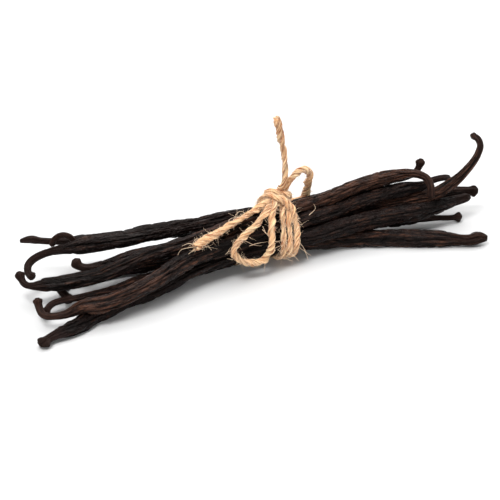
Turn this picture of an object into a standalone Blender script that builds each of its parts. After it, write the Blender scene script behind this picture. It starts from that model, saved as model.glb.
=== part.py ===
"""Nine cured vanilla pods, tied round the middle with one length of jute twine.

X runs along the bundle, Y to its back and Z up. The bundle lies on the plane z = 0, with the
origin under the middle of the pods' bounding box. Sizes in the tables are millimetres, and the
objects are in metres.

Each pod is a tapering tube on a smooth line through a few points, with a stalk or a scar at each
end. The lines are first drawn in to the tie and pushed apart until neighbours only touch.
"""

import math

import bmesh
import bpy
import numpy as np

MM = 0.001

# The bundle: where the twine grips it, and the bundle's axis there
TIE_X = 6.0
TIE_Y = 0.0
TIE_Z = 11.0
TIE_REACH = 9.0  # how far from the tie the grip is still felt
GRIP = 0.06  # how far a pod is drawn in at each step

# How solids meet
GAP = 0.36  # clearance between neighbours
FLAT = 0.22  # how deep a resting pod is pressed flat
PINCH = 0.15  # how much the twine's grip thins a pod
STEPS = 110  # rounds of pushing neighbours apart
SAMPLES = 120  # places along a pod, or a stretch of twine, where it is pushed

# How the tubes are faceted: most samples between two rings, degrees of bend after which a ring is
# needed, and how many samples next to an end each get a ring
SIDES = 2  # Blender's bevel resolution: eight sides
WELD = 0.00002
POD_RINGS = dict(step=4, bend=12.0, ends=4)
TWINE_RINGS = dict(step=17, bend=25.0, ends=1)

# The twine
TWINE = 2.2  # diameter
WRAPS = (1.7, 4.3, 6.8)  # where the three turns round the bundle cross the tie's height, along X
LEAN = 0.27  # how far along X the turns lean as they rise
LEAN_FROM = 9.0  # the height above which they lean
KNOT = (3.6, 0.2, 23.8)
KNOT_SIZE = (5.5, 4.1, 3.1)  # half of its length, depth and height
FRAYED = 1.7  # radius of the loosened end that lies on the pods
FRAYED_LENGTH = 12.0  # how far back from its end it is loosened
FLOOR_GAP = 0.1  # the least between the twine and the plane the bundle lies on
TURN_SAMPLES = 62  # places on each turn round the bundle
SAG = 0.15  # how far the straight runs between the twine's rings fall inside its smooth line

# An end of a pod: radius and length of its neck, the length over which it swells to the body, and
# the radius and length of what it ends in, with the share of that length that its nose takes
STALK = dict(neck=1.25, neck_length=11.0, swell=30.0, tip=1.6, tip_length=2.6, nose=0.25)
CURLED = dict(neck=1.05, neck_length=14.0, swell=28.0, tip=1.15, tip_length=2.0, nose=0.4)
BUDDED = dict(neck=1.2, neck_length=6.0, swell=7.0, tip=1.75, tip_length=3.2, nose=0.3)
KNOB = dict(neck=1.45, neck_length=3.9, swell=11.0, tip=2.15, tip_length=3.6, nose=0.35)
SCAR = dict(neck=1.3, neck_length=6.0, swell=20.0, tip=1.85, tip_length=3.2, nose=0.3)
SNOUT = dict(neck=2.0, neck_length=8.0, swell=20.0, tip=2.25, tip_length=6.0, nose=0.7)
HORN = dict(neck=1.35, neck_length=13.0, swell=16.0, tip=1.65, tip_length=7.0, nose=0.7)
BLUNT = dict(neck=1.75, neck_length=3.0, swell=26.0, tip=1.75, tip_length=2.4, nose=0.8)
LASH = dict(neck=1.35, neck_length=6.0, swell=26.0, tip=1.5, tip_length=2.4, nose=0.3)

NOSE = 0.5  # radius of the very end, as a share of the tip's

# Each pod: the points its middle line runs through, the body's radius near its left, its middle
# and its right, and its two ends
PODS = {
    "pod_1": dict(
        route=[
            (-95, -23.2, 2.1), (-92.8, -21.5, 2.2), (-90, -20.3, 2.4), (-83, -18.5, 2.6), (-70, -14, 2.7),
            (-46, -8, 4.6), (-16, -6, 8.2), (6, -7, 9.6), (32, -7.5, 9.8), (52, -8.5, 10),
            (67, -9, 9.4), (76.5, -7.7, 9.2), (83.3, -7.2, 9.2),
        ],
        body=(2.75, 3.0, 3.3), left=KNOB, right=BLUNT,
    ),
    "pod_2": dict(
        route=[
            (-87.5, -5.6, 1.9), (-87, -5.4, 3.4), (-85, -4.6, 4.6), (-82, -4.6, 5.2), (-75, -5.8, 5.4),
            (-60, -6, 5), (-41, -6, 4.8), (-24, -4, 5.2), (6, -3.5, 6), (23, -5, 3.9), (44, -11.5, 2.8),
            (56, -17.5, 2.8), (66, -22.5, 2.7), (72.5, -25.7, 2.5), (76, -26.3, 3), (78.7, -27.5, 2.8),
        ],
        body=(2.4, 2.8, 3.0), left=STALK, right=SNOUT,
    ),
    "pod_3": dict(
        route=[
            (-90.5, -6.4, 9.6), (-90.6, -8, 7.2), (-90.3, -11, 5.6), (-88, -12.6, 5.2), (-83, -14, 5.4),
            (-72, -16.5, 7.3), (-55, -16.5, 10.4), (-34, -9.5, 13), (-16, -7, 14.2), (6, -5.5, 14.6),
            (33, -2.5, 15.8), (54, -4, 17.4), (64, -4, 17.2), (68.5, -3.2, 18), (72, -3.6, 18.3),
            (76.6, -2.5, 17),
        ],
        body=(3.0, 2.8, 2.5), left=dict(STALK, neck_length=11.0, swell=18.0),
        right=dict(CURLED, neck=1.2, neck_length=7.0, swell=16.0),
    ),
    "pod_4": dict(
        route=[
            (-92, 9.3, 11.8), (-91.8, 7.8, 10.3), (-91.1, 5.4, 8.8), (-89, 3.7, 8.6), (-85, 2.4, 8.9),
            (-80, 0.5, 9.1), (-74, -1.1, 9.7), (-60, -2.5, 12), (-48, -3, 14), (-15, -5, 17),
            (6, -1.5, 17.4), (22, -1, 17.6), (40, -1, 21.6), (56, -1, 22.6), (61, -2.2, 22),
            (64.3, -5, 21), (64.4, -8.2, 19.6), (63.7, -10.2, 18), (63, -11.2, 15.6),
        ],
        body=(2.6, 2.7, 2.8), left=BUDDED, right=dict(STALK, neck=1.4, neck_length=9.0, swell=20.0),
    ),
    "pod_5": dict(
        route=[
            (-87, 8.4, 8.8), (-88, 10.8, 9.4), (-87.3, 13.2, 11), (-85, 14.4, 12.4), (-80, 14.4, 13.9),
            (-69, 11.4, 15.4), (-54, 8.6, 16.4), (-32, 6.5, 16.7), (-10, 6, 16.2), (6, 4, 16),
            (20, 4.5, 15.4), (38, 4.5, 17), (53, 4.5, 17.8), (60.4, 4, 17.6), (64, 3.2, 18.7),
            (65.8, 2.9, 21), (67, 3.2, 24.2),
        ],
        body=(2.8, 2.35, 2.6), left=dict(STALK, neck_length=13.0, swell=20.0), right=SCAR,
    ),
    "pod_6": dict(
        route=[
            (-86.3, 23.4, 15.6), (-83.4, 21.8, 16.3), (-79.5, 20.4, 15.5), (-73, 18.9, 14.4),
            (-67, 18.2, 13.4), (-56, 15.4, 12.8), (-44, 12.6, 12.8), (-26, 10.4, 13.2), (5, 7, 12.2),
            (30, 6, 11), (50, 4, 10), (70, 1, 9.4), (80, -1, 9.4), (85.5, -2.8, 9.4), (88.6, -4.6, 9.4),
        ],
        body=(2.2, 2.6, 2.3), left=HORN, right=KNOB,
    ),
    "pod_7": dict(
        route=[
            (-76.8, 17.2, 14.6), (-76.2, 16.4, 17), (-74.6, 16.1, 18.4), (-72.6, 15.7, 18.7),
            (-70.9, 15, 18), (-69.6, 14.9, 16.4), (-68.2, 15.6, 14), (-65.6, 16.6, 11.8),
            (-61, 17.6, 11.2), (-52, 18.4, 10.6), (-42, 18, 10.4), (-30, 15.4, 9.8), (-8, 9, 8.4),
            (6, 6, 7.4), (30, 9, 4), (44, 11.5, 2.1), (56, 13, 1.7), (66, 13.4, 1.8),
        ],
        body=(2.15, 2.5, 2.5), left=CURLED, right=SCAR,
    ),
    "pod_8": dict(
        route=[
            (-72.6, 5.4, 14), (-71.4, 3, 12.4), (-68.6, 1, 11.4), (-62.2, 0.2, 11.1), (-55, 1.4, 11.7),
            (-44, 2, 11.8), (-34, 1.6, 11.3), (-15, -0.3, 10.8), (6, 0, 11), (26, 0, 11.6),
            (38, -1.2, 12), (50, -3.5, 12.4), (61, -5.4, 12.6), (66.5, -6.6, 13.2), (72, -7.6, 16.2),
            (76.5, -8.6, 19.6), (81, -9, 24), (85, -8, 28), (87, -6, 30.4), (87, -3.4, 32),
            (86, -1, 32.4),
        ],
        body=(2.45, 2.5, 2.3), left=KNOB, right=LASH,
    ),
    "pod_9": dict(
        route=[
            (-77.4, -2.9, 2.6), (-78.1, -1.2, 3.6), (-79.1, 0.6, 4.8), (-79.3, 3, 5), (-77.9, 7, 4.2),
            (-74.8, 9.6, 3.2), (-70.4, 10, 2.6), (-61.5, 10.6, 2.2), (-50, 9.6, 2.3), (-26, 5, 3.2),
            (6, 1.5, 5.6), (32, 1.5, 4.8), (48, -1, 4.2), (60, -3.8, 3.6), (70, -6.4, 2.7),
            (74.5, -7.4, 2.2), (79.4, -8.3, 2.1),
        ],
        body=(2.5, 2.6, 2.4), left=SCAR, right=dict(SCAR, neck=1.05, neck_length=9.0, swell=14.0),
    ),
}

# The twine's stretches, each from the knot or to it
TAIL_FRONT = [
    (-32.9, -10.4, 18), (-28.5, -9.5, 19.1), (-21, -8.2, 20.9), (-11.3, -5.7, 22.7), (-3, -2.5, 23.6),
    (1.7, -0.6, 23.9),
]
LOOP_FRONT = [
    (1.3, -3.2, 23.2), (-1.4, -4.9, 23.1), (-6.4, -8.4, 21.2), (-9.9, -9.9, 20), (-13.2, -11.1, 18.6),
    (-16.3, -11.7, 17), (-18.3, -12.2, 15.4), (-19, -12.4, 13.3), (-17.7, -12.7, 10.6),
    (-14.9, -12.8, 8.3), (-11.8, -12.8, 6.9), (-8.8, -12.7, 6.8), (-6.2, -12.7, 7.9),
    (-4.4, -12.6, 10.1), (-3.7, -12.3, 12.6), (-3.4, -11.5, 15.2), (-3, -10.4, 17.4),
    (-1.2, -7.2, 21.2), (-0.1, -5.3, 22.6), (1.1, -3.2, 23.5),
]
LOOP_BACK = [
    (7, 0.5, 25.5), (7.8, 0, 27.6), (9.4, 0.5, 29.3), (11.4, 1.1, 30.6), (14.3, 2.1, 31.4),
    (16.9, 3.1, 31.3), (18.9, 3.6, 29.6), (19.8, 4.5, 27.2), (20.1, 5.9, 24.2), (20.3, 7.1, 21.5),
    (20.4, 8.1, 18.8), (19.8, 9.2, 16), (17.7, 10.2, 14.2), (14.4, 10.5, 14.7), (11.1, 9.3, 17.1),
    (8.3, 7.3, 19.8), (6.5, 5, 22.1),
]
TAIL_UP = [
    (6.4, 2.7, 24.1), (6.5, 0.7, 25.9), (6.6, -0.5, 28.3), (6.9, -1.1, 33.4), (6.8, -1.2, 38),
    (6.2, -1.1, 42.6), (5.5, -1, 46.1), (4.7, -0.9, 50.5), (3.7, -0.8, 56.2),
]
STRETCHES = dict(tail_front=TAIL_FRONT, loop_front=LOOP_FRONT, loop_back=LOOP_BACK, tail_up=TAIL_UP)

# One turn, as Y and Z: from under the knot down the front, under the pods and up behind
TURN = [
    (-1.2, 21.9), (-4.9, 19.6), (-7.8, 16.2), (-10.6, 12.8), (-12.1, 8.8), (-9.7, 5.3), (-6, 3.1),
    (-1.8, 2.3), (2.6, 2.6), (7, 3.5), (10.3, 6), (10.6, 10.4), (9.8, 14.6), (6.8, 17.4), (2.6, 20),
]


def remove_everything():
    """Start from an empty file"""
    for other in list(bpy.data.objects):
        bpy.data.objects.remove(other)


def smooth_line(points, count):
    """Evenly spaced places on a smooth curve through the points: a cubic between each two of them"""
    points = np.array(points, float)
    knots = np.concatenate([[0.0], np.cumsum(np.sqrt(np.linalg.norm(np.diff(points, axis=0), axis=1)))])
    spans = np.diff(knots)[:, None]
    slopes = np.diff(points, axis=0) / spans
    inner = (slopes[:-1] * spans[1:] + slopes[1:] * spans[:-1]) / (spans[:-1] + spans[1:])
    tangents = np.vstack([slopes[:1], inner, slopes[-1:]])
    t = np.linspace(0.0, 1.0, 24, endpoint=False)[:, None]
    fine = []
    for i, h in enumerate(spans):
        fine.append(
            (2 * t**3 - 3 * t**2 + 1) * points[i] + (t**3 - 2 * t**2 + t) * h * tangents[i]
            + (3 * t**2 - 2 * t**3) * points[i + 1] + (t**3 - t**2) * h * tangents[i + 1]
        )
    return evenly(np.vstack(fine + [points[-1:]]), count)


def run_of(line):
    """How far along a line each of its places is"""
    return np.concatenate([[0.0], np.cumsum(np.linalg.norm(np.diff(line, axis=0), axis=1))])


def evenly(line, count):
    """The same line with its places a constant distance apart"""
    run = run_of(line)
    places = np.linspace(0.0, run[-1], count)
    return np.stack([np.interp(places, run, line[:, k]) for k in range(3)], axis=1)


def ease(x):
    """A smooth step from 0 to 1"""
    x = np.clip(x, 0.0, 1.0)
    return x * x * (3 - 2 * x)


def end_radius(away, end, body):
    """A pod's radius at some distance from one of its ends: what tips it, its neck, its swelling"""
    swelling = end["neck"] + (body - end["neck"]) * ease((away - end["neck_length"]) / end["swell"])
    x = np.clip(away / end["tip_length"], 0.0, 1.0)
    nose = NOSE + (1 - NOSE) * np.sqrt(ease(x / end["nose"]))
    tip = end["tip"] * nose + (end["neck"] - end["tip"]) * ease((x - end["nose"]) / (1 - end["nose"]))
    return np.where(away < end["tip_length"], tip, swelling)


def pod_radii(line, pod):
    """A pod's radius at each place on its line"""
    run = run_of(line)
    body = np.interp(run / run[-1], (0.25, 0.5, 0.8), pod["body"])
    body *= 1 - PINCH * ease(1 - np.abs(line[:, 0] - TIE_X) / TIE_REACH)
    return np.minimum(end_radius(run, pod["left"], body), end_radius(run[-1] - run, pod["right"], body))


def spread_out(push, rounds):
    """Share each place's push with its neighbours on the pod, because a pod bends stiffly"""
    for _ in range(rounds):
        ends = np.concatenate([push[:, :1], push, push[:, -1:]], axis=1)
        push = (ends[:, :-2] + 2 * ends[:, 1:-1] + ends[:, 2:]) / 4
    return push


def settle(lines, radii):
    """Draw the pods in at the tie and push them apart, and off the floor, until they only touch"""
    lines = np.array(lines)
    radii = np.array(radii)
    pods, places = radii.shape
    rows = np.arange(places)
    for step in range(STEPS):
        near_tie = np.clip(1 - np.abs(lines[..., 0] - TIE_X) / TIE_REACH, 0.0, 1.0)
        inward = np.array([0.0, TIE_Y, TIE_Z]) - lines
        inward[..., 0] = 0.0
        push = inward / (np.linalg.norm(inward, axis=2, keepdims=True) + 1.0) * near_tie[..., None] * GRIP
        for a in range(pods):
            for b in range(a + 1, pods):
                between = lines[a][:, None] - lines[b][None]
                apart = np.linalg.norm(between, axis=2)
                lack = radii[a][:, None] + radii[b][None] + GAP - apart
                if lack.max() <= 0:
                    continue
                for pod, gaps, sign in ((a, lack, 1), (b, lack.T, -1)):
                    worst = gaps.argmax(axis=1)
                    depth = np.clip(gaps[rows, worst], 0.0, None)
                    way = (between if sign > 0 else between.transpose(1, 0, 2))[rows, worst] * sign
                    way /= np.linalg.norm(way, axis=1, keepdims=True) + 1e-9
                    push[pod] += way * depth[:, None] * 0.5
        lines += spread_out(push, 3 if step < STEPS * 0.8 else 1)
        floor = radii - FLAT + (TWINE + GAP + FLAT) * (near_tie > 0.45)
        sunk = np.clip(floor - lines[..., 2], 0.0, None)
        lines[..., 2] += spread_out(sunk[..., None], 2)[..., 0]
        lines[..., 2] = np.maximum(lines[..., 2], floor)
    return lines


def ring_places(line, step, bend, ends):
    """Which places on a line get a ring: closer together where it bends"""
    way = np.gradient(line, axis=0)
    way /= np.linalg.norm(way, axis=1, keepdims=True)
    turn = np.degrees(np.linalg.norm(np.gradient(way, axis=0), axis=1))
    keep = [0]
    turned = 0.0
    for i in range(1, len(line) - 1):
        turned += turn[i]
        if turned > bend or i - keep[-1] >= step or min(i, len(line) - i) < ends:
            keep.append(i)
            turned = 0.0
    return keep + [len(line) - 1]


def tube(name, line, radii, material, home):
    """A solid tube along a line of places in millimetres, with its ends closed"""
    curve = bpy.data.curves.new(name, "CURVE")
    curve.dimensions = "3D"
    curve.bevel_depth = MM
    curve.bevel_resolution = SIDES
    curve.use_fill_caps = True
    spline = curve.splines.new("POLY")
    spline.points.add(len(line) - 1)
    for point, place, radius in zip(spline.points, line, radii):
        point.co = (*(place * MM), 1.0)
        point.radius = radius
    curve.materials.append(material)
    guide = bpy.data.objects.new(name + "_line", curve)
    home.objects.link(guide)
    return as_mesh(name, guide, home)


def as_mesh(name, thing, home):
    """The mesh that an object shows, as an object of its own with its loose ends welded"""
    mesh = bpy.data.meshes.new_from_object(thing.evaluated_get(bpy.context.evaluated_depsgraph_get()))
    bpy.data.objects.remove(thing)
    work = bmesh.new()
    work.from_mesh(mesh)
    bmesh.ops.remove_doubles(work, verts=work.verts, dist=WELD)
    bmesh.ops.recalc_face_normals(work, faces=work.faces)
    work.to_mesh(mesh)
    work.free()
    mesh.name = name
    solid = bpy.data.objects.new(name, mesh)
    home.objects.link(solid)
    return solid


def press_flat(solid):
    """Cut off what would sink below the plane the bundle lies on, which leaves a small flat spot"""
    work = bmesh.new()
    work.from_mesh(solid.data)
    everything = work.verts[:] + work.edges[:] + work.faces[:]
    bmesh.ops.bisect_plane(work, geom=everything, plane_co=(0, 0, 0), plane_no=(0, 0, -1), clear_outer=True)
    rim = [edge for edge in work.edges if edge.is_boundary]
    if rim:
        bmesh.ops.contextual_create(work, geom=rim)
        bmesh.ops.recalc_face_normals(work, faces=work.faces)
    work.to_mesh(solid.data)
    work.free()


def join(solid, other):
    """Join another solid to this one, as one closed body"""
    union = solid.modifiers.new("join", "BOOLEAN")
    union.operation = "UNION"
    union.solver = "EXACT"
    union.use_self = True
    union.object = other
    home = solid.users_collection[0]
    name = solid.name
    joined = as_mesh(name + "_joined", solid, home)
    bpy.data.objects.remove(other)
    joined.name = name
    return joined


def finish(name, colour, roughness):
    """A plain dielectric finish"""
    material = bpy.data.materials.new(name)
    material.use_nodes = True
    shader = material.node_tree.nodes["Principled BSDF"]
    shader.inputs["Base Color"].default_value = (*colour, 1.0)
    shader.inputs["Roughness"].default_value = roughness
    shader.inputs["Metallic"].default_value = 0.0
    return material


def wrap_round():
    """The twine's turns, out of the knot and back into it"""
    points = [(x + LEAN * (max(z, LEAN_FROM) - TIE_Z), y, z) for x in WRAPS for y, z in TURN]
    return smooth_line(points + [KNOT], len(WRAPS) * TURN_SAMPLES)


def clear_of_pods(line, radius, lines, radii):
    """Lift a stretch of twine off the pods that it would run into"""
    line = line.copy()
    skins = np.concatenate(radii) + radius + GAP
    places = np.concatenate(lines)
    for _ in range(60):
        between = line[:, None] - places[None]
        lack = skins[None] - np.linalg.norm(between, axis=2)
        worst = lack.argmax(axis=1)
        depth = np.clip(lack[np.arange(len(line)), worst], 0.0, None)
        if depth.max() < 0.01:
            break
        way = between[np.arange(len(line)), worst]
        way /= np.linalg.norm(way, axis=1, keepdims=True)
        line += way * depth[:, None]
    line[:, 2] = np.maximum(line[:, 2], radius + FLOOR_GAP)
    return line


def middle_of(lines, radii):
    """Where the middle of the pods' box is, in X and Y"""
    way = np.gradient(lines, axis=1)
    way /= np.linalg.norm(way, axis=2, keepdims=True)
    half = radii[..., None] * np.sqrt(1 - way**2)
    low = (lines - half).min(axis=(0, 1))
    high = (lines + half).max(axis=(0, 1))
    return np.array([(low[0] + high[0]) / 2, (low[1] + high[1]) / 2, 0.0])


def make_pods(lines, radii, home):
    """One solid for each pod"""
    skin = finish("cured_pod_skin", (0.018, 0.009, 0.007), 0.42)
    for name, line, radius in zip(PODS, lines, radii):
        rings = ring_places(line, **POD_RINGS)
        pod = tube(name, line[rings], radius[rings], skin, home)
        press_flat(pod)
        pod.data.shade_smooth()


def make_twine(lines, radii, middle, home):
    """The twine as one solid: its turns, a knot, a bow of two loops and two tails"""
    jute = finish("jute_twine", (0.52, 0.27, 0.12), 0.9)
    bpy.ops.mesh.primitive_uv_sphere_add(segments=12, ring_count=8, radius=1.0)
    knot = bpy.context.active_object
    knot.scale = np.array(KNOT_SIZE) * MM
    knot.location = (np.array(KNOT) - middle) * MM
    bpy.context.view_layer.update()
    bpy.ops.object.transform_apply(location=True, rotation=False, scale=True)
    for linked in list(knot.users_collection):
        linked.objects.unlink(knot)
    home.objects.link(knot)
    knot.name = "twine"
    knot.data.materials.append(jute)

    stretches = {name: smooth_line(points, SAMPLES) for name, points in STRETCHES.items()}
    stretches["wraps"] = wrap_round()
    twine = knot
    for name, line in stretches.items():
        radius = np.full(len(line), TWINE / 2)
        if name == "tail_front":
            radius += (FRAYED - TWINE / 2) * ease(1 - run_of(line) / FRAYED_LENGTH)
        line = clear_of_pods(line, TWINE / 2 + SAG, lines, radii) - middle
        rings = ring_places(line, **TWINE_RINGS)
        twine = join(twine, tube(name, line[rings], radius[rings], jute, home))
    twine.name = "twine"
    twine.data.shade_smooth()
    twine.data.set_sharp_from_angle(angle=math.radians(50))


remove_everything()
bundle = bpy.data.collections.new("vanilla_pods")
bpy.context.scene.collection.children.link(bundle)
routes = [smooth_line(pod["route"], SAMPLES) for pod in PODS.values()]
pod_radius = np.array([pod_radii(route, pod) for route, pod in zip(routes, PODS.values())])
pod_line = settle(routes, pod_radius)
offset = middle_of(pod_line, pod_radius)
make_pods(pod_line - offset, pod_radius, bundle)
make_twine(pod_line, pod_radius, offset, bundle)
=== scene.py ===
"""A bundle of cured vanilla pods, tied round the middle with a bow of jute twine.

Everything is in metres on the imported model's frame: X runs along the bundle, Y to its back and Z up,
and the bundle lies on z = 0. Routes and sizes are listed in millimetres and turned into metres where
the meshes are made.
"""

import math

import bpy
import numpy as np
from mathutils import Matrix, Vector


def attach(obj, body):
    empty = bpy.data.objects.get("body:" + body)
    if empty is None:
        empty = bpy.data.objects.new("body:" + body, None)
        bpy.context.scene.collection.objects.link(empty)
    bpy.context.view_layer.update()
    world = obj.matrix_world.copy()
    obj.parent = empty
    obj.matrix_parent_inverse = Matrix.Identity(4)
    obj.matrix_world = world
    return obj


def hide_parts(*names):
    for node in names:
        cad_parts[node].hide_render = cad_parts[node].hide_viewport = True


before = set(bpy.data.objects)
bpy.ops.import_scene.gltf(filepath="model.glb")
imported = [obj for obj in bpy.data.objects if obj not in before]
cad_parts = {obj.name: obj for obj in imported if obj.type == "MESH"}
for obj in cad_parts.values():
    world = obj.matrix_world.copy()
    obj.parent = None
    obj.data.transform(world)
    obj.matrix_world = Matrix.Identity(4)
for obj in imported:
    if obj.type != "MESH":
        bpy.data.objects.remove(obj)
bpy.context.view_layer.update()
MM = 0.001


# ---- Camera ------------------------------------------------------------------------------------
# A long lens looks down on the bundle from its front left, so that the bundle climbs to the right.
AIM = Vector((-2.942, 3.098, 3.7)) * MM
CAMERA_TURN = math.radians(-25)
CAMERA_RISE = math.radians(31)
CAMERA_DISTANCE = 0.5653

towards_camera = Vector((
    math.sin(CAMERA_TURN) * math.cos(CAMERA_RISE),
    -math.cos(CAMERA_TURN) * math.cos(CAMERA_RISE),
    math.sin(CAMERA_RISE),
))
bpy.ops.object.camera_add(
    location=AIM + towards_camera * CAMERA_DISTANCE,
    rotation=towards_camera.to_track_quat("Z", "Y").to_euler(),
)
camera = bpy.context.active_object
camera.data.lens = 110
camera.data.sensor_width = 36
camera.data.clip_start = 0.01
bpy.context.scene.camera = camera


# ---- Pods: where they lie ----------------------------------------------------------------------
# Nine cured fruits of the vanilla orchid, supple as leather. Each one's middle line runs through a
# few points, is drawn in where the twine grips the bundle, and is pushed off its neighbours.
TIE_X = 6.0
TIE_Y = 0.0
TIE_Z = 11.0
TIE_REACH = 9.0  # how far from the tie the grip is still felt
GRIP = 0.06  # how far a pod is drawn in at each step
GAP = 0.36  # clearance between neighbours
FLAT = 0.22  # how deep a resting pod is pressed flat
PINCH = 0.15  # how much the twine's grip thins a pod
STEPS = 110  # rounds of pushing neighbours apart
STIFF = 0.8  # share of those rounds in which a pod bends more stiffly
PULL_EASE = 1.0  # distance from the tie's middle within which the pull on a pod fades
HALF = 0.5  # each pod's share of the push between two
ON_TWINE = 0.45  # how near the tie, from 0 to 1, the lowest pods lie on the twine and not on the floor
SAMPLES = 120  # places along a pod where it is pushed
CHORDS = 24  # short straight pieces that the curve between two points is measured by
BODY_AT = (0.25, 0.5, 0.8)  # shares of a pod's length where its body's radii are given
TWINE = 2.2  # the twine's diameter, which the lowest pods leave room for

# An end of a pod: radius and length of its neck, the length over which it swells to the body, and
# the radius and length of what it ends in, with the share of that length that its nose takes
STALK = dict(neck=1.25, neck_length=11.0, swell=30.0, tip=1.6, tip_length=2.6, nose=0.25)
CURLED = dict(neck=1.05, neck_length=14.0, swell=28.0, tip=1.15, tip_length=2.0, nose=0.4)
BUDDED = dict(neck=1.2, neck_length=6.0, swell=7.0, tip=1.75, tip_length=3.2, nose=0.3)
KNOB = dict(neck=1.45, neck_length=3.9, swell=11.0, tip=2.15, tip_length=3.6, nose=0.35)
SCAR = dict(neck=1.3, neck_length=6.0, swell=20.0, tip=1.85, tip_length=3.2, nose=0.3)
SNOUT = dict(neck=2.0, neck_length=8.0, swell=20.0, tip=2.25, tip_length=6.0, nose=0.7)
HORN = dict(neck=1.35, neck_length=13.0, swell=16.0, tip=1.65, tip_length=7.0, nose=0.7)
BLUNT = dict(neck=1.75, neck_length=3.0, swell=26.0, tip=1.75, tip_length=2.4, nose=0.8)
LASH = dict(neck=1.35, neck_length=6.0, swell=26.0, tip=1.5, tip_length=2.4, nose=0.3)

NOSE = 0.5  # radius of the very end, as a share of the tip's

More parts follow.
